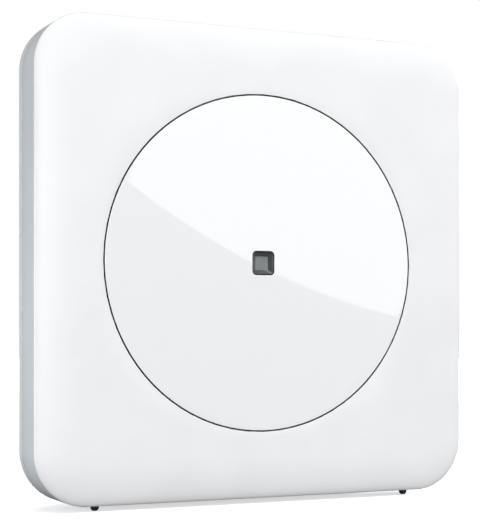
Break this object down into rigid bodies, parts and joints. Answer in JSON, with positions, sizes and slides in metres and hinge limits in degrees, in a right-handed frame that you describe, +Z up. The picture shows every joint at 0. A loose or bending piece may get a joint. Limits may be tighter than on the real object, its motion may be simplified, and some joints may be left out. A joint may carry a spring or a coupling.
{
  "type": "smart home hub",
  "caption": "Upright rounded-square smart home hub with a glossy front disc, a smoked status window, a raised rear housing with ports, and a sprung reset button.",
  "frame": {"origin": "on the surface the hub stands on, under the middle of its width and depth", "axes": "+Z up, +Y from the front disc to the rear housing, +X to the right as seen from the front"},
  "size_m": [0.2026, 0.05, 0.2053],
  "materials": {
    "shell_white": "fine matte texture",
    "disc_white": "gloss",
    "cover_white": "fine matte texture",
    "adhesive_black": "matt foam",
    "smoked_lens": "smoked gloss",
    "clear_pipe": "clear",
    "black_plastic": "moulded",
    "led": "gloss",
    "foot_rubber": "matte",
    "screw_steel": "plain",
    "circuit_board": "solder mask",
    "chip_black": "moulded",
    "anodised_black": "black anodised",
    "shield_metal": "tin plated",
    "antenna_metal": "tin plated",
    "film_copper": "amber film",
    "lead_black": "satin jacket",
    "gold_contact": "gold plated",
    "contact_metal": "nickel plated",
    "tongue_white": "moulded",
    "ferrite": "moulded ferrite",
    "capacitor_sleeve": "sleeve",
    "plunger_cream": "moulded",
    "button_grey": "moulded"
  },
  "bodies": {
    "hub": {"front_shell": "shell_white", "front_disc": "disc_white", "disc_adhesive": "adhesive_black", "status_window": "smoked_lens", "light_pipe": "clear_pipe", "light_shroud": "black_plastic", "status_led": "led", "rear_cover": "cover_white", "front_foot_left": "foot_rubber", "front_foot_right": "foot_rubber", "rear_foot_left": "foot_rubber", "rear_foot_right": "foot_rubber", "case_screw_1": "screw_steel", "case_screw_2": "screw_steel", "case_screw_3": "screw_steel", "case_screw_4": "screw_steel", "main_board": "circuit_board", "board_screw_1": "screw_steel", "board_screw_2": "screw_steel", "board_screw_3": "screw_steel", "board_screw_4": "screw_steel", "processor": "chip_black", "heat_sink": "anodised_black", "memory_chip": "chip_black", "flash_chip": "chip_black", "wifi_shield": "shield_metal", "mesh_shield_upper": "shield_metal", "mesh_shield_lower": "shield_metal", "stamped_antenna_left": "antenna_metal", "stamped_antenna_right": "antenna_metal", "film_antenna": "film_copper", "antenna_lead": "lead_black", "antenna_socket": "gold_contact", "dc_jack": "black_plastic", "dc_jack_pin": "contact_metal", "usb_socket": "contact_metal", "usb_tongue": "tongue_white", "power_coil": "ferrite", "capacitor_1": "capacitor_sleeve", "capacitor_2": "capacitor_sleeve", "crystal": "shield_metal", "reset_switch": "black_plastic"},
    "reset": {"reset_button": "button_grey", "reset_plunger": "plunger_cream"}
  },
  "joints": [
    {"name": "reset_press", "type": "slide", "parent": "hub", "child": "reset", "axis": [-1, 0, 0], "range_m": [0, 0.0006], "stiffness_N_per_m": 900}
  ]
}
